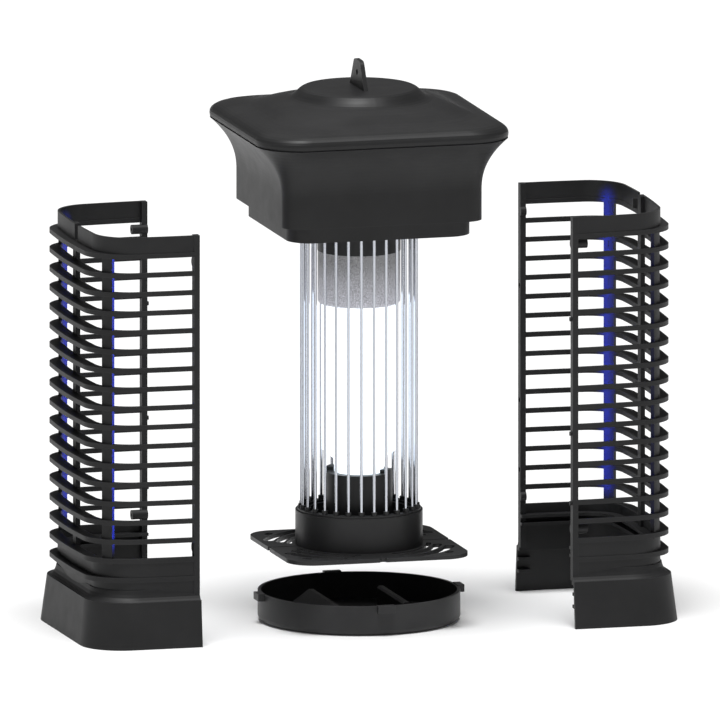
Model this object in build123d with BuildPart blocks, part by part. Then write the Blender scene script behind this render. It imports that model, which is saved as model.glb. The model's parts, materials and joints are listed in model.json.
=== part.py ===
from build123d import *
from math import cos, radians, sin
import os

# Electric bug zapper, drawn apart: the core stands on the axis, and the two halves of its
# slatted guard stand to its left and right, each drawn out along X by `pull`.
# Millimetres, +Z up, origin on the floor under the middle of the core.

# ---------------------------------------------------------------- driving dimensions
pull = 120.6  # distance from the closed place of a guard half to where it stands
gap = 0.3  # clearance between pieces that move past each other

# guard
guard_height = 259.85
guard_half = 63.5  # half the width of the closed guard at its corners
guard_radius = 25.0
guard_bow = 1.4  # how far each side bows outward
guard_wall = 2.5
top_band = 13.5
slat_count = 18
slat_pitch = 12.06
slat_height = 2.9
slat_reach = 4.9  # how far the slats stand out of the two far sides
top_slat_z = guard_height - top_band
band_slats = 2  # the lowest slats lie on the plain lower band
skirt_height = 29.3
skirt_top_half = 68.8
skirt_foot_half = 72.0
skirt_radius = 26.5

# cap
cap_low_z = guard_height + gap
cap_half = 64.5
cap_radius = 11.5
cap_wall = 2.5
step_half = 59.0
step_radius = 15.4
step_height = 10.0
eaves_half = 81.0
eaves_radius = 27.8
flare_start_z = 279.0
flare_power = 2.25  # how late the flare turns outward
eaves_z = 312.0
disc_z = 337.2
disc_radius = 36.8
tab_top_z = 354.7
tab_thickness = 2.7
tab_foot_width = 35.0
tab_head_width = 14.0
tab_hole_radius = 2.0

# grid, lamp and base
rod_count = 28
rod_radius = 0.95
rod_circle = 36.0
rod_turn = 0.0  # degrees from the X axis to the first rod
collar_radius = 39.8
collar_top_z = 70.0
sleeve_top_z = 73.7
plate_half = 58.4
plate_radius = 17.0
plate_z = 45.7
plate_thickness = 2.5
socket_radius = 26.0
socket_z = 234.3
lamp_collar_radius = 25.8
lamp_collar_z = 200.8
lamp_radius = 23.0
lamp_z = 94.0
holder_radius = 20.9

# tray
tray_radius = 63.3
tray_height = 19.0
tray_wall = 2.0
lug_reach = 66.7
lug_width = 11.0
lug_z = 15.0
lug_height = 4.6

# worked-out places
plate_top_z = plate_z + plate_thickness
step_z = cap_low_z - step_height
base_floor = 3.0  # thickness of the cap base under its well
insulator_z = step_z + base_floor
insulator_height = 4.0
contact_z = insulator_z + insulator_height
contact_height = 1.0


def save(piece, name):
    """Label a finished piece and write it under its node name."""
    piece.part.label = name
    export_step(piece.part, f"parts/{name}.step")


def bowed_plan(inset=0.0, reach=0.0):
    """Plan of the closed guard: bowed sides and round corners; reach widens it along X."""
    flat = guard_half - guard_radius
    edge = guard_half - inset
    side = edge + reach
    with BuildSketch() as plan:
        with BuildLine():
            for way in (1, -1):
                ThreePointArc((-flat, way * edge), (0, way * (edge + guard_bow)), (flat, way * edge))
                ThreePointArc((way * side, -flat), (way * (side + guard_bow), 0), (way * side, flat))
            for corner, (way_x, way_y) in enumerate(((1, 1), (-1, 1), (-1, -1), (1, -1))):
                centre = (way_x * flat, way_y * flat)
                EllipticalCenterArc(centre, side - flat, edge - flat, 90 * corner, arc_size=90)
        make_face()
    return plan.sketch


def tapered_plan_stack(levels):
    """Solid through rounded squares, each level given as (height, half width, corner radius)."""
    with BuildPart() as stack:
        for height, half, radius in levels:
            with BuildSketch(Plane.XY.offset(height)):
                RectangleRounded(2 * half, 2 * half, radius)
        loft(ruled=True)
    return stack.part


def inner_levels(levels, side, drop):
    """The same stack of levels, moved in by `side` and down by `drop`."""
    return [(height - drop, half - side, max(radius - side, 1.0)) for height, half, radius in levels]


def ring(outer, inner, low, high):
    """Plain round ring between two heights."""
    with BuildPart() as band:
        with BuildSketch(Plane.XY.offset(low)):
            Circle(outer)
            Circle(inner, mode=Mode.SUBTRACT)
        extrude(amount=high - low)
    return band.part


def rod_places(first=0, step=1):
    """Points on the rod circle: every rod, or every second one from `first`."""
    turns = [radians(rod_turn + 360 / rod_count * index) for index in range(first, rod_count, step)]
    return [(rod_circle * cos(turn), rod_circle * sin(turn)) for turn in turns]


os.makedirs("parts", exist_ok=True)

# ---------------------------------------------------------------- guard halves
post_width = 3.6
post_depth = 5.5
corner_post_width = 7.8
corner_post_turn = 40.5  # degrees from the X axis, about the middle of the corner's arc
rib_width = 7.0
rib_inner = 60.6  # the ribs of the far sides lie mostly behind the slats
rib_outer = 63.5
boss_radius = 3.0
boss_length = 10.2  # bosses of the front edge; those of the back edge end with the post
boss_hole = 1.2
boss_heights = (242.5, 61.7)
boss_y = guard_half + guard_bow - post_depth + 1.0
nub_heights = (195.0, 122.5, 78.5)
nub_y = guard_half + guard_bow - post_depth / 2
nub_length = 1.3
nub_radius = 1.4
band_slat_z = top_slat_z - slat_pitch * (slat_count - band_slats)
corner_centre = guard_half - guard_radius
post_low = band_slat_z - 1.0
post_length = top_slat_z + 1.0 - post_low
ledge_length = 8.0
ledge_height = 2.0
ledge_low_y = tray_radius + 2 * gap
ledge_high_y = 68.6
band_inset = 0.5  # how far the plain bands lie behind the slats and posts
top_band_wall = 1.5  # thinner, to leave room for the step of the cap base
cove_levels = [
    (skirt_height, 67.3, 26.8),
    (skirt_height + 0.9, 66.2, 26.4),
    (skirt_height + 2.4, 65.1, 26.0),
    (skirt_height + 4.4, 64.3, 25.6),
    (skirt_height + 7.0, 63.7, 25.2),
]
latch_y = 7.5  # middle of the notch in the top band of the far side
latch_width = 7.0
latch_depth = 10.0
latch_lug_inner = step_half + 2 * gap
latch_lug_outer = guard_half
latch_lug_z = 250.0
latch_lug_height = 6.0
latch_lug_width = 2.4
groove_rib = 1.8
groove_reach = 5.7
skirt_slope = (skirt_foot_half - skirt_top_half) / skirt_height


def wall_plan(depth):
    """Plan of the closed guard's wall, `depth` thick from the outside."""
    with BuildSketch() as plan:
        add(bowed_plan())
        add(bowed_plan(inset=depth), mode=Mode.SUBTRACT)
    return plan.sketch


with BuildPart() as skirt:
    # sloping apron with a flat shoulder and a small cove above it
    apron = [(0, skirt_foot_half, skirt_radius), (skirt_height, skirt_top_half, skirt_radius)]
    add(tapered_plan_stack(apron))
    add(tapered_plan_stack(cove_levels))
    inner_foot = skirt_foot_half - guard_wall + skirt_slope
    inner_top = skirt_top_half - guard_wall + skirt_slope * guard_wall
    hollow = [(-1.0, inner_foot, skirt_radius), (skirt_height - guard_wall, inner_top, skirt_radius)]
    add(tapered_plan_stack(hollow), mode=Mode.SUBTRACT)
    with BuildSketch():
        add(bowed_plan(inset=guard_wall))
    extrude(amount=guard_height, mode=Mode.SUBTRACT)

with BuildPart() as guard:
    add(skirt.part)
    # plain bands at the top and bottom
    low_band = (skirt_height - 1.0, band_slat_z + 1.0, guard_wall)
    high_band = (top_slat_z, guard_height, band_inset + top_band_wall)
    for low, high, depth in (low_band, high_band):
        with BuildSketch(Plane.XY.offset(low)):
            add(bowed_plan(inset=band_inset))
            add(bowed_plan(inset=depth), mode=Mode.SUBTRACT)
        extrude(amount=high - low)
    # slats, flush at the front and back, standing out at the far sides
    for index in range(slat_count):
        with BuildSketch(Plane.XY.offset(top_slat_z - slat_pitch * index)):
            add(bowed_plan(reach=slat_reach))
            add(bowed_plan(inset=guard_wall), mode=Mode.SUBTRACT)
        extrude(amount=slat_height)
    # corner posts
    with BuildSketch(Plane.XY.offset(post_low)):
        for way_x, way_y in ((1, 1), (-1, 1), (-1, -1), (1, -1)):
            turn = 90 * (1 - way_x) + way_x * way_y * corner_post_turn
            with Locations(Location((way_x * corner_centre, way_y * corner_centre, 0), (0, 0, turn))):
                Rectangle(2 * guard_radius, corner_post_width, align=(Align.MIN, Align.CENTER))
        add(wall_plan(guard_wall), mode=Mode.INTERSECT)
    extrude(amount=post_length)
    # posts along the meeting edges
    with BuildSketch(Plane.XY.offset(skirt_height)):
        Rectangle(2 * post_width, 4 * guard_half)
        add(wall_plan(post_depth), mode=Mode.INTERSECT)
    extrude(amount=guard_height - skirt_height)
    # ribs down the middle of the two far sides
    with BuildSketch(Plane.XY.offset(skirt_height + 1.0)):
        with PolarLocations((rib_inner + rib_outer) / 2, 2):
            Rectangle(rib_outer - rib_inner, rib_width)
    extrude(amount=guard_height - skirt_height - 1.0)
    # grooves that take the edge of the base plate
    for low in (plate_z - gap - groove_rib, plate_top_z + gap):
        with BuildSketch(Plane.XY.offset(low)):
            add(bowed_plan(inset=guard_wall - 0.5))
            add(bowed_plan(inset=guard_wall + groove_reach), mode=Mode.SUBTRACT)
        extrude(amount=groove_rib)
    # ledges above and below the lugs of the tray
    for low in (lug_z - 2 * gap - ledge_height, lug_z + lug_height + 2 * gap):
        with BuildSketch(Plane.XY.offset(low)):
            with Locations((0, (ledge_low_y + ledge_high_y) / 2), (0, -(ledge_low_y + ledge_high_y) / 2)):
                Rectangle(2 * ledge_length, ledge_high_y - ledge_low_y)
        extrude(amount=ledge_height)
    # screw bosses that run in from the meeting edges
    for place_y, length in ((-boss_y, boss_length), (boss_y, post_width)):
        with BuildSketch(Plane.YZ):
            with Locations(*[(place_y, height) for height in boss_heights]):
                Circle(boss_radius)
                Circle(boss_hole, mode=Mode.SUBTRACT)
        extrude(amount=length)
    # notch in the top band of the far side, and a small lug beside it
    with BuildSketch(Plane.XY.offset(guard_height - latch_depth)):
        with Locations((guard_half, latch_y)):
            Rectangle(4 * guard_wall, latch_width)
    extrude(amount=latch_depth, mode=Mode.SUBTRACT)
    with BuildSketch(Plane.XY.offset(latch_lug_z)):
        with Locations((latch_lug_inner, latch_y + (latch_width + latch_lug_width) / 2)):
            lug_length = latch_lug_outer - latch_lug_inner
            Rectangle(lug_length, latch_lug_width, align=(Align.MIN, Align.CENTER))
    extrude(amount=latch_lug_height)
    # only the half on the +X side is kept
    split(bisect_by=Plane.YZ, keep=Keep.TOP)
    # locating nubs on the front edge, and the pockets that take them on the back edge
    for height in nub_heights:
        with BuildSketch(Plane.YZ.offset(-nub_length)):
            with Locations((-nub_y, height)):
                Circle(nub_radius)
        extrude(amount=nub_length + 1.0)
        with BuildSketch(Plane.YZ):
            with Locations((nub_y, height)):
                Circle(nub_radius + gap)
        extrude(amount=nub_length + gap, mode=Mode.SUBTRACT)

with BuildPart() as right_guard:
    add(guard.part.moved(Location((pull, 0, 0))))

with BuildPart() as left_guard:
    add(right_guard.part.rotate(Axis.Z, 180))

save(right_guard, "right_guard")
save(left_guard, "left_guard")

# ---------------------------------------------------------------- cap body
body_lip = 2.5
flare_steps = 14
flare_rise = eaves_z - flare_start_z


def flare_levels():
    """Outline of the cap body: straight, then turning outward ever more steeply."""
    levels = []
    for index in range(flare_steps + 1):
        rise = index / flare_steps
        out = rise**flare_power
        half = cap_half + (eaves_half - cap_half) * out
        radius = cap_radius + (eaves_radius - cap_radius) * out
        levels.append((flare_start_z + flare_rise * rise, half, radius))
    return levels


grommet_z = 273.0
grommet_radius = 4.0
grommet_bore = 2.6
grommet_lip = 1.5
grommet_lip_radius = grommet_radius + 1.8

with BuildPart() as cap_body:
    add(tapered_plan_stack([(cap_low_z, cap_half, cap_radius), (flare_start_z, cap_half, cap_radius)]))
    add(tapered_plan_stack(flare_levels()))
    floor_level = (cap_low_z + body_lip, cap_half - cap_wall, cap_radius - cap_wall)
    bend_level = (flare_start_z, cap_half - cap_wall, cap_radius - cap_wall)
    add(tapered_plan_stack([floor_level, bend_level]), mode=Mode.SUBTRACT)
    add(tapered_plan_stack(inner_levels(flare_levels(), cap_wall, 0)), mode=Mode.SUBTRACT)
    # opening in the floor for the step of the cap base
    with BuildSketch(Plane.XY.offset(cap_low_z)):
        RectangleRounded(2 * (step_half + gap), 2 * (step_half + gap), step_radius)
    extrude(amount=body_lip, mode=Mode.SUBTRACT)
    # hole for the cord grommet in the back wall
    with BuildSketch(Plane.XZ.offset(-cap_half - 1)):
        with Locations((0, grommet_z)):
            Circle(grommet_radius)
    extrude(amount=cap_wall + 2, mode=Mode.SUBTRACT)
save(cap_body, "cap_body")

with BuildPart() as cord_grommet:
    with BuildSketch(Plane.XZ.offset(-cap_half - grommet_lip)):
        with Locations((0, grommet_z)):
            Circle(grommet_lip_radius)
    extrude(amount=grommet_lip)
    with BuildSketch(Plane.XZ.offset(-cap_half)):
        with Locations((0, grommet_z)):
            Circle(grommet_radius - 0.05)
    extrude(amount=cap_wall)
    with BuildSketch(Plane.XZ.offset(-cap_half + cap_wall)):
        with Locations((0, grommet_z)):
            Circle(grommet_lip_radius)
    extrude(amount=grommet_lip)
    with BuildSketch(Plane.XZ.offset(-cap_half - 2)):
        with Locations((0, grommet_z)):
            Circle(grommet_bore)
    extrude(amount=cap_wall + 4, mode=Mode.SUBTRACT)
save(cord_grommet, "cord_grommet")

# ---------------------------------------------------------------- cap roof
roof_levels = [
    (eaves_z, 80.2, 27.4),
    (eaves_z + 1.4, 81.1, 28.0),
    (eaves_z + 2.9, 81.3, 28.2),
    (eaves_z + 4.4, 81.1, 28.0),
    (eaves_z + 5.8, 80.4, 27.7),
    (eaves_z + 7.1, 79.2, 27.4),
    (eaves_z + 8.2, 77.6, 27.2),
    (eaves_z + 9.1, 75.5, 27.2),
    (eaves_z + 9.8, 72.8, 28.2),
    (eaves_z + 10.4, 69.2, 31.0),
    (eaves_z + 11.1, 65.8, 34.0),
    (eaves_z + 12.1, 62.6, 36.5),
    (eaves_z + 13.4, 59.6, 38.5),
    (eaves_z + 14.8, 56.6, 40.0),
    (eaves_z + 16.2, 53.0, 41.2),
    (eaves_z + 17.4, 49.0, 42.5),
    (eaves_z + 18.2, 46.0, 45.5),
    (eaves_z + 18.9, 44.0, 43.7),
    (eaves_z + 19.9, 42.1, 41.8),
    (eaves_z + 21.3, 40.3, 40.0),
    (eaves_z + 22.9, 38.6, 38.3),
    (eaves_z + 24.4, disc_radius, disc_radius - 0.3),
    (disc_z, disc_radius - 1.6, disc_radius - 1.9),
]
screw_place = 47.0
screw_boss_radius = 4.5
screw_radius = 1.6
screw_head_radius = 3.0
screw_head_height = 2.0
screw_length = 18.0
screw_cross_length = 3.2
screw_cross_width = 0.8
tab_hole_drop = 8.0
tab_corner = 5.0

with BuildPart() as cap_roof:
    add(tapered_plan_stack(roof_levels))
    add(tapered_plan_stack(inner_levels(roof_levels, cap_wall, cap_wall)), mode=Mode.SUBTRACT)
    # long bosses that reach down to the cap base
    with BuildSketch(Plane.XY.offset(insulator_z)):
        with GridLocations(2 * screw_place, 2 * screw_place, 2, 2):
            Circle(screw_boss_radius)
            Circle(screw_radius + 0.05, mode=Mode.SUBTRACT)
    extrude(amount=eaves_z + 12.0 - insulator_z)
    # hanging tab
    tab_foot_z = disc_z - 1.0
    with BuildSketch(Plane.YZ.offset(-tab_thickness / 2)) as tab_face:
        with BuildLine():
            Polyline(
                (-tab_foot_width / 2, tab_foot_z),
                (-tab_head_width / 2, tab_top_z),
                (tab_head_width / 2, tab_top_z),
                (tab_foot_width / 2, tab_foot_z),
                close=True,
            )
        make_face()
        fillet(tab_face.vertices().group_by(Axis.Y)[-1], tab_corner)
        with Locations((0, tab_top_z - tab_hole_drop)):
            Circle(tab_hole_radius, mode=Mode.SUBTRACT)
    extrude(amount=tab_thickness)
save(cap_roof, "cap_roof")

# ---------------------------------------------------------------- cap base
base_flange = 2.0
flange_half = cap_half - cap_wall - gap
flange_radius = cap_radius - cap_wall
board_post_radius = 3.0
post_place_x = 42.0
post_place_y = 24.0
board_z = 276.0

with BuildPart() as cap_base:
    step_top_z = cap_low_z + body_lip
    add(tapered_plan_stack([(step_z, step_half, step_radius), (step_top_z, step_half, step_radius)]))
    flange_top_z = step_top_z + base_flange
    flange = [(step_top_z, flange_half, flange_radius), (flange_top_z, flange_half, flange_radius)]
    add(tapered_plan_stack(flange))
    well_half = step_half - cap_wall
    well_radius = step_radius - cap_wall
    well = [(insulator_z, well_half, well_radius), (flange_top_z, well_half, well_radius)]
    add(tapered_plan_stack(well), mode=Mode.SUBTRACT)
    # posts for the circuit board
    with BuildSketch(Plane.XY.offset(insulator_z)):
        with GridLocations(2 * post_place_x, 2 * post_place_y, 2, 2):
            Circle(board_post_radius)
    extrude(amount=board_z - insulator_z)
    # holes for the socket, the rods and the screws, with sunk screw heads
    with Locations((0, 0, insulator_z)):
        Hole(socket_radius + 0.1)
    with Locations(*[(x, y, insulator_z) for x, y in rod_places()]):
        Hole(rod_radius + 0.05)
    with BuildSketch(Plane.XY.offset(step_z)):
        with GridLocations(2 * screw_place, 2 * screw_place, 2, 2):
            Circle(screw_head_radius + 0.2)
    extrude(amount=screw_head_height, mode=Mode.SUBTRACT)
    with BuildSketch(Plane.XY.offset(step_z)):
        with GridLocations(2 * screw_place, 2 * screw_place, 2, 2):
            Circle(screw_radius + 0.2)
    extrude(amount=base_floor, mode=Mode.SUBTRACT)
save(cap_base, "cap_base")


def screws(places, foot_z, head_height, length, cross_depth):
    """Upright screws with their heads at the bottom and a cross cut into each head."""
    with BuildPart() as group:
        for radius, height in ((screw_head_radius, head_height), (screw_radius, length)):
            with BuildSketch(Plane.XY.offset(foot_z)):
                with places:
                    Circle(radius)
            extrude(amount=height)
        with BuildSketch(Plane.XY.offset(foot_z)):
            with places:
                Rectangle(screw_cross_length, screw_cross_width)
                Rectangle(screw_cross_width, screw_cross_length)
        extrude(amount=cross_depth, mode=Mode.SUBTRACT)
    return group


cap_screw_places = GridLocations(2 * screw_place, 2 * screw_place, 2, 2)
cap_screws = screws(cap_screw_places, step_z, screw_head_height, screw_length, 0.8)
save(cap_screws, "cap_screws")

# ---------------------------------------------------------------- killing grid
contact_inner = 36.2
contact_outer = 39.0
neutral_ring_z = plate_top_z + 1.2
rod_stagger = 1.5  # how far each set of rods stops short of the other set's ring
live_rod_low_z = neutral_ring_z + contact_height + rod_stagger
neutral_rod_low_z = neutral_ring_z + contact_height
neutral_rod_high_z = contact_z - rod_stagger

with BuildPart() as live_rods:
    with BuildSketch(Plane.XY.offset(live_rod_low_z)):
        with Locations(*rod_places(0, 2)):
            Circle(rod_radius)
    extrude(amount=contact_z - live_rod_low_z)
save(live_rods, "live_rods")

with BuildPart() as neutral_rods:
    with BuildSketch(Plane.XY.offset(neutral_rod_low_z)):
        with Locations(*rod_places(1, 2)):
            Circle(rod_radius)
    extrude(amount=neutral_rod_high_z - neutral_rod_low_z)
save(neutral_rods, "neutral_rods")

with BuildPart() as live_contact_ring:
    add(ring(contact_outer, contact_inner, contact_z, contact_z + contact_height))
save(live_contact_ring, "live_contact_ring")

with BuildPart() as neutral_contact_ring:
    add(ring(contact_outer - 1.0, contact_inner - 1.8, neutral_ring_z, neutral_ring_z + contact_height))
save(neutral_contact_ring, "neutral_contact_ring")

with BuildPart() as rod_insulator:
    add(ring(rod_circle + 5.0, rod_circle - 5.0, insulator_z, contact_z))
    with Locations(*[(x, y, contact_z) for x, y in rod_places()]):
        Hole(rod_radius + 0.05)
save(rod_insulator, "rod_insulator")

# ---------------------------------------------------------------- rod collar and base plate
collar_inner = rod_circle - 5.0
sleeve_radius = 1.9
sleeve_ring = 1.4
collar_boss_place = 27.0
collar_boss_radius = 3.2
collar_boss_top = plate_top_z + 12.0
ring_pocket_top = live_rod_low_z + 1.0
pocket_half = 2.6  # half the width of the ring-shaped pocket and of the sleeve ring

with BuildPart() as rod_collar:
    add(ring(collar_radius, collar_inner, plate_top_z, collar_top_z))
    with BuildSketch(Plane.XY.offset(plate_top_z)):
        Circle(collar_inner + 0.5)
    extrude(amount=2.5)
    with BuildSketch(Plane.XY.offset(plate_top_z)):
        with PolarLocations(collar_boss_place, 4, start_angle=45):
            Circle(collar_boss_radius)
    extrude(amount=collar_boss_top - plate_top_z)
    # pocket below for the neutral ring, and the rod holes through to it
    pocket = ring(rod_circle + pocket_half, rod_circle - pocket_half, plate_top_z, ring_pocket_top)
    add(pocket, mode=Mode.SUBTRACT)
    with Locations(*[(x, y, collar_top_z) for x, y in rod_places()]):
        Hole(rod_radius + 0.05)
    with BuildSketch(Plane.XY.offset(plate_top_z)):
        with PolarLocations(collar_boss_place, 4, start_angle=45):
            Circle(screw_radius + 0.05)
    extrude(amount=10.0, mode=Mode.SUBTRACT)
save(rod_collar, "rod_collar")

with BuildPart() as sleeve_retainer:
    add(ring(rod_circle + pocket_half, rod_circle - pocket_half, collar_top_z, collar_top_z + sleeve_ring))
    with BuildSketch(Plane.XY.offset(collar_top_z)):
        with Locations(*rod_places()):
            Circle(sleeve_radius)
    extrude(amount=sleeve_top_z - collar_top_z)
    with Locations(*[(x, y, sleeve_top_z) for x, y in rod_places()]):
        Hole(rod_radius + 0.05)
save(sleeve_retainer, "sleeve_retainer")

slot_rings = ((43.5, 3.2, 60.0), (49.4, 5.6, 48.0), (57.4, 7.0, 38.0))
corner_hole_place = 65.0
corner_hole_length = 7.0
corner_hole_width = 4.4
notch_radius = 2.2
seam_rib_height = 0.2
seam_rib_width = 1.2
base_screw_head = 1.4
base_screw_length = 11.0

with BuildPart() as base_plate:
    with BuildSketch(Plane.XY.offset(plate_z)):
        RectangleRounded(2 * plate_half, 2 * plate_half, plate_radius)
        # openwork: curved slots round the collar and one oval hole in each corner
        for corner in (45, 135, 225, 315):
            for middle_radius, width, sweep in slot_rings:
                with BuildLine(mode=Mode.PRIVATE) as slot_line:
                    CenterArc((0, 0), middle_radius, corner - sweep / 2, sweep)
                SlotArc(slot_line.edge(), width, mode=Mode.SUBTRACT)
        with PolarLocations(corner_hole_place, 4, start_angle=45):
            SlotOverall(corner_hole_length, corner_hole_width, rotation=90, mode=Mode.SUBTRACT)
        with PolarLocations(plate_half, 4):
            Circle(notch_radius, mode=Mode.SUBTRACT)
        with PolarLocations(collar_boss_place, 4, start_angle=45):
            Circle(screw_radius + 0.2, mode=Mode.SUBTRACT)
    extrude(amount=plate_thickness)
    # low ribs from the collar to the notches
    with BuildSketch(Plane.XY.offset(plate_top_z - 0.2)):
        with PolarLocations((collar_radius + plate_half - notch_radius) / 2 + 0.2, 4):
            Rectangle(plate_half - notch_radius - collar_radius - 1.0, seam_rib_width)
    extrude(amount=0.2 + seam_rib_height)
    with BuildSketch(Plane.XY.offset(plate_z)):
        with PolarLocations(collar_boss_place, 4, start_angle=45):
            Circle(screw_head_radius + 0.2)
    extrude(amount=base_screw_head, mode=Mode.SUBTRACT)
save(base_plate, "base_plate")

base_screw_places = PolarLocations(collar_boss_place, 4, start_angle=45)
base_screws = screws(base_screw_places, plate_z, base_screw_head, base_screw_length, 0.6)
save(base_screws, "base_screws")

# ---------------------------------------------------------------- lamp
socket_flange = 3.0
socket_top_z = insulator_z + 9.0
thread_radius = 13.0
thread_top_z = socket_z + 17.0
glass_wall = 1.2
lamp_foot_radius = 15.5
lamp_shoulder_z = 102.0
lamp_shoulder_height = 6.0
thread_turns = 5
thread_pitch = 2.8
thread_height = 1.4
thread_root_radius = thread_radius - 0.6
base_tip_height = 2.0
base_tip_radius = 4.5
lamp_collar_round = 2.0

with BuildPart() as lamp_socket:
    with BuildSketch(Plane.XY.offset(socket_z)):
        Circle(socket_radius)
    extrude(amount=socket_top_z - socket_z)
    with BuildSketch(Plane.XY.offset(insulator_z)):
        Circle(socket_radius + socket_flange)
    extrude(amount=2.0)
    with BuildSketch(Plane.XY.offset(socket_z)):
        Circle(thread_radius + 0.2)
    extrude(amount=thread_top_z - socket_z, mode=Mode.SUBTRACT)
save(lamp_socket, "lamp_socket")

with BuildPart() as lamp_screw_base:
    with BuildSketch(Plane.XY.offset(socket_z)):
        Circle(thread_root_radius)
    extrude(amount=thread_top_z - base_tip_height - socket_z)
    for index in range(thread_turns):
        with BuildSketch(Plane.XY.offset(socket_z + thread_height + thread_pitch * index)):
            Circle(thread_radius)
        extrude(amount=thread_height)
    with BuildSketch(Plane.XY.offset(thread_top_z - base_tip_height)):
        Circle(base_tip_radius)
    extrude(amount=base_tip_height)
save(lamp_screw_base, "lamp_screw_base")

with BuildPart() as lamp_collar:
    with BuildSketch(Plane.XY.offset(lamp_collar_z)):
        Circle(lamp_collar_radius)
    extrude(amount=socket_z - lamp_collar_z)
    fillet(lamp_collar.edges().group_by(Axis.Z)[0], lamp_collar_round)
save(lamp_collar, "lamp_collar")


def lamp_profile(inset):
    """Half outline of the lamp tube, `inset` inside its outer face."""
    with BuildSketch(Plane.XZ) as profile:
        with BuildLine():
            Polyline(
                (0, lamp_z + inset),
                (lamp_foot_radius - inset, lamp_z + inset),
                (lamp_foot_radius - inset, lamp_shoulder_z),
                (lamp_radius - inset, lamp_shoulder_z + lamp_shoulder_height),
                (lamp_radius - inset, lamp_collar_z),
                (0, lamp_collar_z),
                close=True,
            )
        make_face()
    return profile.sketch


with BuildPart() as lamp_body:
    add(lamp_profile(0))
    revolve(axis=Axis.Z)
with BuildPart() as lamp_hollow:
    add(lamp_profile(glass_wall))
    revolve(axis=Axis.Z)
with BuildPart() as lamp_tube:
    add(lamp_body.part)
    add(lamp_hollow.part, mode=Mode.SUBTRACT)
save(lamp_tube, "lamp_tube")

holder_wall = 2.4
holder_clip_height = 2.2
holder_clip_width = 8.0
holder_clip_turn = -35.5  # degrees from the X axis

with BuildPart() as lamp_holder:
    add(ring(holder_radius, holder_radius - holder_wall, plate_top_z + 2.5, lamp_z))
    with BuildSketch(Plane.XY.offset(lamp_z - 2.5)):
        Circle(holder_radius - 0.5)
    extrude(amount=2.5)
save(lamp_holder, "lamp_holder")

with BuildPart() as lamp_clips:
    with BuildSketch(Plane.XY.offset(lamp_z)):
        Circle(holder_radius)
        Circle(lamp_foot_radius + gap, mode=Mode.SUBTRACT)
        Rectangle(4 * holder_radius, holder_clip_width, rotation=holder_clip_turn, mode=Mode.INTERSECT)
    extrude(amount=holder_clip_height)
save(lamp_clips, "lamp_clips")

# ---------------------------------------------------------------- electronics in the cap
board_length = 96.0
board_width = 60.0
board_thickness = 1.6
board_top_z = board_z + board_thickness

with BuildPart() as circuit_board:
    with BuildSketch(Plane.XY.offset(board_z)):
        Rectangle(board_length, board_width)
    extrude(amount=board_thickness)
save(circuit_board, "circuit_board")

transformer_x = -22.0
core_length = 30.0
core_width = 26.0
core_yoke = 5.0
winding_length = 22.0
winding_width = 30.0
winding_height = 14.0
winding_radius = 4.0

with BuildPart() as transformer:
    # the winding stands between the two yokes of the core
    for low in (board_top_z, board_top_z + core_yoke + winding_height):
        with BuildSketch(Plane.XY.offset(low)):
            with Locations((transformer_x, 0)):
                Rectangle(core_length, core_width)
        extrude(amount=core_yoke)
    with BuildSketch(Plane.XY.offset(board_top_z + core_yoke)):
        with Locations((transformer_x, 0)):
            RectangleRounded(winding_length, winding_width, winding_radius)
    extrude(amount=winding_height)
save(transformer, "transformer")

capacitor_radius = 5.0
capacitor_height = 14.0
capacitor_round = 1.0
capacitor_places = ((8, -14), (8, 14), (22, -14), (22, 14))

with BuildPart() as capacitors:
    with BuildSketch(Plane.XY.offset(board_top_z)):
        with Locations(*capacitor_places):
            Circle(capacitor_radius)
    extrude(amount=capacitor_height)
    fillet(capacitors.edges().group_by(Axis.Z)[-1], capacitor_round)
save(capacitors, "capacitors")

resistor_radius = 1.2
resistor_length = 8.0
resistor_places = (8.0, 15.0, 22.0, 29.0)

with BuildPart() as resistors:
    with BuildSketch(Plane.XZ.offset(-resistor_length / 2)):
        with Locations(*[(place_x, board_top_z + resistor_radius) for place_x in resistor_places]):
            Circle(resistor_radius)
    extrude(amount=resistor_length)
save(resistors, "resistors")

lead_radius = 0.6
live_lead_turn = radians(rod_turn)
live_lead_circle = 37.5
socket_lead_x = 8.0

with BuildPart() as leads:
    # one lead to the live ring and two to the lamp socket
    with BuildSketch(Plane.XY.offset(contact_z + contact_height)):
        with Locations((live_lead_circle * cos(live_lead_turn), live_lead_circle * sin(live_lead_turn))):
            Circle(lead_radius)
    extrude(amount=board_z - contact_z - contact_height)
    with BuildSketch(Plane.XY.offset(socket_top_z)):
        with Locations((-socket_lead_x, 0), (socket_lead_x, 0)):
            Circle(lead_radius)
    extrude(amount=board_z - socket_top_z)
save(leads, "leads")

# ---------------------------------------------------------------- collection tray
tray_floor = 2.0
grip_ridge_x = 20.0
grip_foot_x = 42.0
grip_ridge_z = 14.8
grip_ridge_width = 4.0
grip_ridge_chamfer = 1.2
grip_half_length = 31.0
tray_edge_radius = 4.0


def grip_wedge(side, drop):
    """Finger grip: upright on the inner side, sloping down outward; `drop` makes it smaller."""
    inner_x = grip_ridge_x + drop
    outer_x = grip_ridge_x + grip_ridge_width
    top_z = grip_ridge_z - drop
    foot_x = grip_foot_x - drop
    with BuildPart() as wedge:
        with BuildSketch(Plane.XZ.offset(-grip_half_length + drop)):
            with BuildLine():
                Polyline(
                    (side * inner_x, -1.0),
                    (side * inner_x, top_z - grip_ridge_chamfer),
                    (side * (inner_x + grip_ridge_chamfer), top_z),
                    (side * outer_x, top_z),
                    (side * foot_x, tray_floor - drop),
                    (side * foot_x, -1.0),
                    close=True,
                )
            make_face()
        extrude(amount=2 * (grip_half_length - drop))
    return wedge.part


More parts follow.
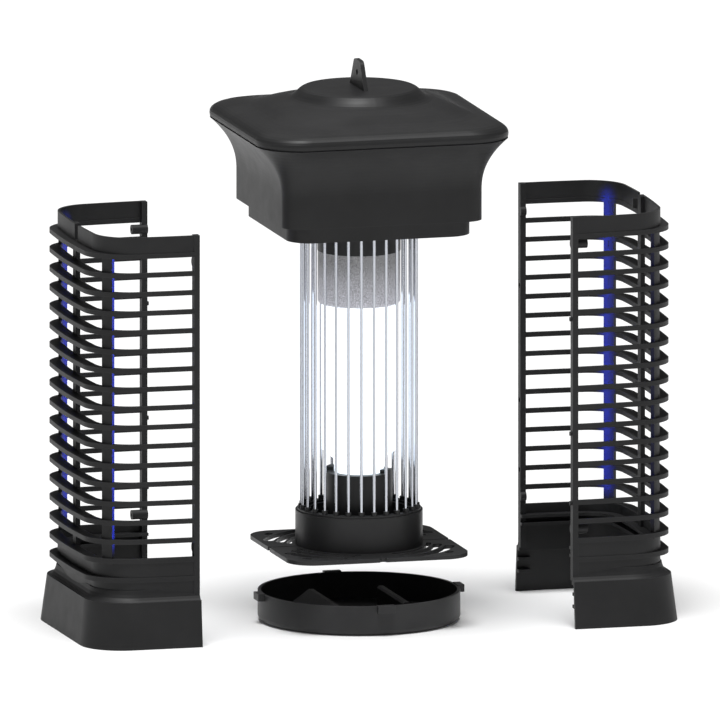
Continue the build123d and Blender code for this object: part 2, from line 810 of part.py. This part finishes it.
with BuildPart() as collection_tray:
    with BuildSketch():
        Circle(tray_radius)
    extrude(amount=tray_height)
    fillet(collection_tray.edges().group_by(Axis.Z)[0], tray_edge_radius)
    with BuildSketch(Plane.XY.offset(tray_floor)):
        Circle(tray_radius - tray_wall)
    extrude(amount=tray_height, mode=Mode.SUBTRACT)
    # lugs that hold the tray in the guard
    with BuildSketch(Plane.XY.offset(lug_z)):
        with PolarLocations(0, 4):
            with Locations((tray_radius - tray_wall, 0)):
                Rectangle(2 * (lug_reach - tray_radius + tray_wall), lug_width)
        Circle(tray_radius - 0.5 * tray_wall, mode=Mode.SUBTRACT)
    extrude(amount=lug_height)
    # finger grips, raised inside and hollow below
    for side in (-1, 1):
        add(grip_wedge(side, 0))
    with BuildSketch(Plane.XY.offset(-2.0)):
        Circle(2 * tray_radius)
    extrude(amount=2.0, mode=Mode.SUBTRACT)
    for side in (-1, 1):
        add(grip_wedge(side, tray_wall), mode=Mode.SUBTRACT)
save(collection_tray, "collection_tray")
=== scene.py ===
import json
import math

import bpy
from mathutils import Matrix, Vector


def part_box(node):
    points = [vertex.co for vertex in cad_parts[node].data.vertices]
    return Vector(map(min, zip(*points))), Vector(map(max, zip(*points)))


# Electric bug zapper, pulled apart: cap, lit grid and base in the middle, a guard half on each
# side and the collection tray below. Metres, +Z up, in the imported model's own frame.

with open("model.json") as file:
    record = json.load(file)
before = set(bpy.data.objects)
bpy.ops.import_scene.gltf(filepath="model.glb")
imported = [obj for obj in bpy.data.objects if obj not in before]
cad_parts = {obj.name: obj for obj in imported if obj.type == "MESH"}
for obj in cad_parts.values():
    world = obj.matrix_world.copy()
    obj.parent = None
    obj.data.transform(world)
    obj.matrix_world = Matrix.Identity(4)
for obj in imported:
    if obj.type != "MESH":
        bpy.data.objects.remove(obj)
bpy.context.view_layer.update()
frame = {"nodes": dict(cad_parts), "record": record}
nodes = frame["nodes"]
MM = 0.001
WHITE = (1.0, 1.0, 1.0)
SMOOTH_BELOW = math.radians(32)  # edges flatter than this are shaded smooth

# ---------------------------------------------------------------- camera
VIEW_AZIMUTH = math.radians(-15.26)
VIEW_ELEVATION = math.radians(10.1)
VIEW_WIDTH = 0.4493
VIEW_DISTANCE = 2.5
AIM = Vector((0.6 * MM, -0.2 * MM, 164.1 * MM))


def add_camera():
    """Parallel view from the front, a little to the left and above."""
    camera = bpy.data.objects.new("camera", bpy.data.cameras.new("camera"))
    bpy.context.scene.collection.objects.link(camera)
    back = Vector((
        math.sin(VIEW_AZIMUTH) * math.cos(VIEW_ELEVATION),
        -math.cos(VIEW_AZIMUTH) * math.cos(VIEW_ELEVATION),
        math.sin(VIEW_ELEVATION),
    ))
    camera.data.type = "ORTHO"
    camera.data.ortho_scale = VIEW_WIDTH
    camera.location = AIM + back * VIEW_DISTANCE
    camera.rotation_euler = back.to_track_quat("Z", "Y").to_euler()
    bpy.context.scene.camera = camera


# ---------------------------------------------------------------- materials
class Maker:
    """Small helper that builds one node material."""

    def __init__(self, name):
        self.material = bpy.data.materials.new(name)
        self.material.use_nodes = True
        self.tree = self.material.node_tree
        self.shader = self.tree.nodes["Principled BSDF"]
        self.coords = self.tree.nodes.new("ShaderNodeTexCoord").outputs["Object"]

    def node(self, kind, **settings):
        made = self.tree.nodes.new(kind)
        for key, value in settings.items():
            setattr(made, key, value)
        return made

    def link(self, source, target):
        self.tree.links.new(source, target)

    def stretched(self, scale):
        mapping = self.node("ShaderNodeMapping")
        mapping.inputs["Scale"].default_value = scale
        self.link(self.coords, mapping.inputs["Vector"])
        return mapping.outputs["Vector"]

    def noise(self, scale, detail=3.0, roughness=0.55, vector=None):
        texture = self.node("ShaderNodeTexNoise")
        texture.inputs["Scale"].default_value = scale
        texture.inputs["Detail"].default_value = detail
        texture.inputs["Roughness"].default_value = roughness
        self.link(vector or self.coords, texture.inputs["Vector"])
        return texture.outputs["Fac"]

    def ramp(self, factor, low, high, start=0.0, end=1.0):
        """Colours or greys from low to high as factor goes from start to end."""
        ramp = self.node("ShaderNodeValToRGB")
        ramp.color_ramp.elements[0].position = start
        ramp.color_ramp.elements[1].position = end
        ramp.color_ramp.elements[0].color = (*low, 1.0)
        ramp.color_ramp.elements[1].color = (*high, 1.0)
        self.link(factor, ramp.inputs["Fac"])
        return ramp.outputs["Color"]

    def spread(self, factor, low, high):
        """Plain number from low to high as factor goes from 0 to 1."""
        span = self.node("ShaderNodeMapRange")
        span.inputs["To Min"].default_value = low
        span.inputs["To Max"].default_value = high
        self.link(factor, span.inputs["Value"])
        return span.outputs["Result"]

    def edge_mask(self, radius):
        """Near 1 at rounded-over edges and 0 on open faces."""
        bevel = self.node("ShaderNodeBevel", samples=6)
        bevel.inputs["Radius"].default_value = radius
        geometry = self.node("ShaderNodeNewGeometry")
        dot = self.node("ShaderNodeVectorMath", operation="DOT_PRODUCT")
        self.link(bevel.outputs["Normal"], dot.inputs[0])
        self.link(geometry.outputs["Normal"], dot.inputs[1])
        span = self.node("ShaderNodeMapRange")
        span.inputs["From Min"].default_value = 0.98
        span.inputs["From Max"].default_value = 0.75
        self.link(dot.outputs["Value"], span.inputs["Value"])
        return span.outputs["Result"]

    def height_fade(self, low, high):
        """0 at the lower height and 1 at the upper one."""
        split = self.node("ShaderNodeSeparateXYZ")
        self.link(self.coords, split.inputs["Vector"])
        span = self.node("ShaderNodeMapRange")
        span.inputs["From Min"].default_value = low
        span.inputs["From Max"].default_value = high
        self.link(split.outputs["Z"], span.inputs["Value"])
        return span.outputs["Result"]

    def multiplied(self, first, second):
        mixer = self.node("ShaderNodeMix", data_type="RGBA", blend_type="MULTIPLY")
        mixer.inputs["Factor"].default_value = 1.0
        self.link(first, mixer.inputs[6])
        self.link(second, mixer.inputs[7])
        return mixer.outputs[2]

    def mix(self, factor, first, second):
        mixer = self.node("ShaderNodeMix", data_type="RGBA")
        self.link(factor, mixer.inputs["Factor"])
        for socket, value in ((mixer.inputs[6], first), (mixer.inputs[7], second)):
            if isinstance(value, tuple):
                socket.default_value = (*value, 1.0)
            else:
                self.link(value, socket)
        return mixer.outputs[2]

    def bump(self, height, strength, distance):
        bump = self.node("ShaderNodeBump")
        bump.inputs["Strength"].default_value = strength
        bump.inputs["Distance"].default_value = distance
        self.link(height, bump.inputs["Height"])
        self.link(bump.outputs["Normal"], self.shader.inputs["Normal"])


def grey(level):
    """Grey with a trace of blue."""
    return (level, level, level * 1.03)


def darker(tint, share):
    return tuple(share * channel for channel in tint)


def moulded_plastic(name, level, rough, grain=1600.0, specular=0.28):
    """Satin moulded plastic: fine spark grain, slight shade drift, rounded edges painted a little
    lighter as a painted highlight.
    """
    made = Maker(name)
    drift = made.ramp(made.noise(28.0), grey(level * 0.82), grey(level * 1.18), 0.3, 0.7)
    # Painted highlight: the base colour turns lighter along rounded edges.
    painted_edge_highlight = made.mix(made.edge_mask(0.5 * MM), drift, grey(level * 2.2))
    made.link(painted_edge_highlight, made.shader.inputs["Base Color"])
    cloud = made.noise(90.0, 4.0)
    made.link(made.spread(cloud, rough - 0.06, rough + 0.06), made.shader.inputs["Roughness"])
    made.shader.inputs["Specular IOR Level"].default_value = specular
    made.bump(made.noise(grain, 2.0), 0.12, 0.05 * MM)
    return made.material


def drawn_steel(name, tint):
    """Bright drawn wire with fine lengthwise lines."""
    made = Maker(name)
    lines = made.noise(1.0, 3.0, vector=made.stretched((2600.0, 2600.0, 24.0)))
    made.link(made.ramp(lines, darker(tint, 0.86), tint, 0.3, 0.7), made.shader.inputs["Base Color"])
    made.link(made.spread(lines, 0.12, 0.24), made.shader.inputs["Roughness"])
    made.shader.inputs["Metallic"].default_value = 1.0
    made.bump(lines, 0.06, 0.02 * MM)
    return made.material


def plated_metal(name, tint, rough):
    """Plain stamped or turned metal with a slightly cloudy surface."""
    made = Maker(name)
    cloud = made.noise(160.0, 4.0)
    made.link(made.ramp(cloud, darker(tint, 0.8), tint, 0.3, 0.7), made.shader.inputs["Base Color"])
    made.link(made.spread(cloud, rough - 0.08, rough + 0.1), made.shader.inputs["Roughness"])
    made.shader.inputs["Metallic"].default_value = 1.0
    made.bump(made.noise(2200.0, 2.0), 0.08, 0.02 * MM)
    return made.material


def frosted_glass(name):
    """Grainy grey frosting of the lamp's collar; the lamp's light through it is painted on as
    emission, brighter towards the bottom.
    """
    made = Maker(name)
    grain = made.noise(2400.0, 1.0, 0.8)
    low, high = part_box("lamp_collar")
    painted_glow_fade = made.height_fade(low.z, high.z)
    speckle = made.ramp(grain, (0.10, 0.10, 0.105), (0.50, 0.50, 0.52), 0.34, 0.66)
    made.link(speckle, made.shader.inputs["Base Color"])
    made.shader.inputs["Roughness"].default_value = 0.6
    # Painted light: the collar glows by emission, darker towards the top and speckled by the grain.
    glow = made.ramp(painted_glow_fade, (0.42, 0.42, 0.47), (0.08, 0.08, 0.08), 0.0, 0.85)
    painted_glow_speckle = made.ramp(grain, (0.4, 0.4, 0.4), (1.5, 1.5, 1.5), 0.36, 0.64)
    made.link(made.multiplied(glow, painted_glow_speckle), made.shader.inputs["Emission Color"])
    made.shader.inputs["Emission Strength"].default_value = 0.75
    made.bump(grain, 0.5, 0.2 * MM)
    return made.material


def glowing_tube(name):
    """Lit lamp tube: almost white, a little bluer in cloudy patches of its coating."""
    made = Maker(name)
    cloud = made.noise(45.0, 3.0)
    glow = made.ramp(cloud, (0.78, 0.9, 1.0), (0.93, 0.98, 1.0), 0.35, 0.65)
    made.shader.inputs["Base Color"].default_value = (0.9, 0.95, 1.0, 1.0)
    made.link(glow, made.shader.inputs["Emission Color"])
    made.shader.inputs["Emission Strength"].default_value = 1.6
    made.shader.inputs["Roughness"].default_value = 0.25
    made.bump(made.noise(700.0, 2.0), 0.05, 0.05 * MM)
    return made.material


def painted(name, tint, rough, grain):
    """Coloured coating with a mottled tone, for the small parts inside the cap."""
    made = Maker(name)
    mottle = made.noise(grain, 4.0)
    made.link(made.ramp(mottle, darker(tint, 0.7), tint, 0.3, 0.7), made.shader.inputs["Base Color"])
    made.link(made.spread(mottle, rough, rough + 0.15), made.shader.inputs["Roughness"])
    made.bump(mottle, 0.15, 0.1 * MM)
    return made.material


MATERIALS = {
    "guard_plastic": moulded_plastic("guard_plastic", 0.018, 0.52),
    "cap_plastic": moulded_plastic("cap_plastic", 0.019, 0.46),
    "base_plastic": moulded_plastic("base_plastic", 0.026, 0.40),
    "tray_plastic": moulded_plastic("tray_plastic", 0.030, 0.42),
    "rod_steel": drawn_steel("rod_steel", (0.62, 0.64, 0.69)),
    "contact_brass": plated_metal("contact_brass", (0.78, 0.6, 0.3), 0.35),
    "screw_steel": plated_metal("screw_steel", (0.6, 0.61, 0.63), 0.35),
    "grommet_rubber": moulded_plastic("grommet_rubber", 0.015, 0.7, 900.0, 0.2),
    "lamp_frost": frosted_glass("lamp_frost"),
    "lamp_glow": glowing_tube("lamp_glow"),
    "board_green": painted("board_green", (0.03, 0.16, 0.07), 0.35, 300.0),
    "transformer_core": painted("transformer_core", (0.45, 0.33, 0.06), 0.45, 220.0),
    "capacitor_film": painted("capacitor_film", (0.35, 0.09, 0.03), 0.3, 260.0),
    "resistor_body": painted("resistor_body", (0.55, 0.42, 0.25), 0.5, 500.0),
    "lead_wire": painted("lead_wire", (0.45, 0.03, 0.02), 0.4, 400.0),
}


def dress_cad_nodes():
    """Gives every CAD node its slot's material and shades its curved faces smooth."""
    for part in frame["record"]["subparts"]:
        piece = nodes[part["node"]]
        piece.data.materials.clear()
        piece.data.materials.append(MATERIALS[part["material_slot"]])
        chosen = {"object": piece, "active_object": piece, "selected_editable_objects": [piece]}
        with bpy.context.temp_override(**chosen):
            bpy.ops.object.shade_smooth_by_angle(angle=SMOOTH_BELOW)


# ---------------------------------------------------------------- light and floor
WORLD_LEVEL = 0.15  # how strongly the white surroundings light the object
FLOOR_HALF_WIDTH = 40.0
FLOOR_GLOW = 0.04
SUN_TOWARDS = (0.07, 0.18, -1.0)
SUN_POWER = 3.3
SUN_SOFTNESS = 26.0  # degrees
RIM_PLACE = (0.1, 0.9, 1.2)
RIM_AIM = (0, 0, 0.3)
RIM_SIZE = (0.9, 0.5)
RIM_POWER = 0.8

BLUE_TINT = (0.03, 0.06, 1.0)
BLUE_SIZE = (5 * MM, 190 * MM)
BLUE_SPREAD = 6.0  # degrees
BLUE_HEIGHT = 158 * MM
BLUE_OUT = 60 * MM  # from the lantern's axis to the light, along X
BLUE_ACROSS = 10 * MM
POST_INSET_X = 14.5 * MM  # from the guard's outer side to the middle of its corner post
POST_INSET_Y = 17.3 * MM
BLUE_POWER = {
    ("right", "back"): 0.022,
    ("right", "front"): 0.012,
    ("left", "back"): 0.05,
    ("left", "front"): 0.035,
}


def add_area_light(name, place, aim, size, power, tint=WHITE, spread=180.0):
    data = bpy.data.lights.new(name, "AREA")
    data.shape = "RECTANGLE"
    data.size, data.size_y = size
    data.energy = power
    data.color = tint
    data.spread = math.radians(spread)
    light = bpy.data.objects.new(name, data)
    light.location = place
    light.rotation_euler = (Vector(place) - Vector(aim)).to_track_quat("Z", "Y").to_euler()
    bpy.context.scene.collection.objects.link(light)


def add_world(light_level):
    """White all round; it lights the object less than it shows."""
    world = bpy.data.worlds.new("studio")
    world.use_nodes = True
    tree = world.node_tree
    shown = tree.nodes["Background"]
    shown.inputs["Color"].default_value = (1.0, 1.0, 1.0, 1.0)
    lit = tree.nodes.new("ShaderNodeBackground")
    lit.inputs["Strength"].default_value = light_level
    path = tree.nodes.new("ShaderNodeLightPath")
    mixer = tree.nodes.new("ShaderNodeMixShader")
    tree.links.new(path.outputs["Is Camera Ray"], mixer.inputs["Fac"])
    tree.links.new(lit.outputs["Background"], mixer.inputs[1])
    tree.links.new(shown.outputs["Background"], mixer.inputs[2])
    tree.links.new(mixer.outputs["Shader"], tree.nodes["World Output"].inputs["Surface"])
    bpy.context.scene.world = world


def add_floor(half_width):
    """Pale floor that reaches out of sight and glows a little, so that it stays white."""
    bpy.ops.mesh.primitive_plane_add(size=2 * half_width, location=(0, 0, 0))
    floor = bpy.context.object
    floor.name = "floor"
    made = Maker("pale_floor")
    shade = made.ramp(made.noise(3.0), (0.93, 0.93, 0.93), (0.95, 0.95, 0.95))
    made.link(shade, made.shader.inputs["Base Color"])
    made.shader.inputs["Roughness"].default_value = 0.9
    made.shader.inputs["Specular IOR Level"].default_value = 0.1
    made.shader.inputs["Emission Color"].default_value = (1.0, 1.0, 1.0, 1.0)
    made.shader.inputs["Emission Strength"].default_value = FLOOR_GLOW
    floor.data.materials.append(made.material)


def add_sun(name, towards, power, softness):
    """Far soft light that shines the same way everywhere."""
    data = bpy.data.lights.new(name, "SUN")
    data.energy = power
    data.angle = math.radians(softness)
    light = bpy.data.objects.new(name, data)
    light.rotation_euler = (-Vector(towards)).to_track_quat("Z", "Y").to_euler()
    bpy.context.scene.collection.objects.link(light)


def add_blue_lights():
    """The lamp's blue-violet light on the inner corners of the guard halves."""
    for side, word in ((1, "right"), (-1, "left")):
        low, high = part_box(f"{word}_guard")
        outer_x = high.x if side > 0 else low.x
        for way, end in ((1, "back"), (-1, "front")):
            post_x = outer_x - side * POST_INSET_X
            post = Vector((post_x, way * (high.y - POST_INSET_Y), BLUE_HEIGHT))
            start = Vector((side * BLUE_OUT, -way * BLUE_ACROSS, BLUE_HEIGHT))
            name = f"lamp_blue_{word}_{end}"
            power = BLUE_POWER[word, end]
            add_area_light(name, start, post, BLUE_SIZE, power, BLUE_TINT, BLUE_SPREAD)


def add_studio():
    add_world(WORLD_LEVEL)
    add_floor(FLOOR_HALF_WIDTH)
    add_sun("sky_panel", SUN_TOWARDS, SUN_POWER, SUN_SOFTNESS)
    add_area_light("back_rim", RIM_PLACE, RIM_AIM, RIM_SIZE, RIM_POWER)
    add_blue_lights()


bpy.context.scene.view_settings.view_transform = "Standard"
add_camera()
dress_cad_nodes()
add_studio()
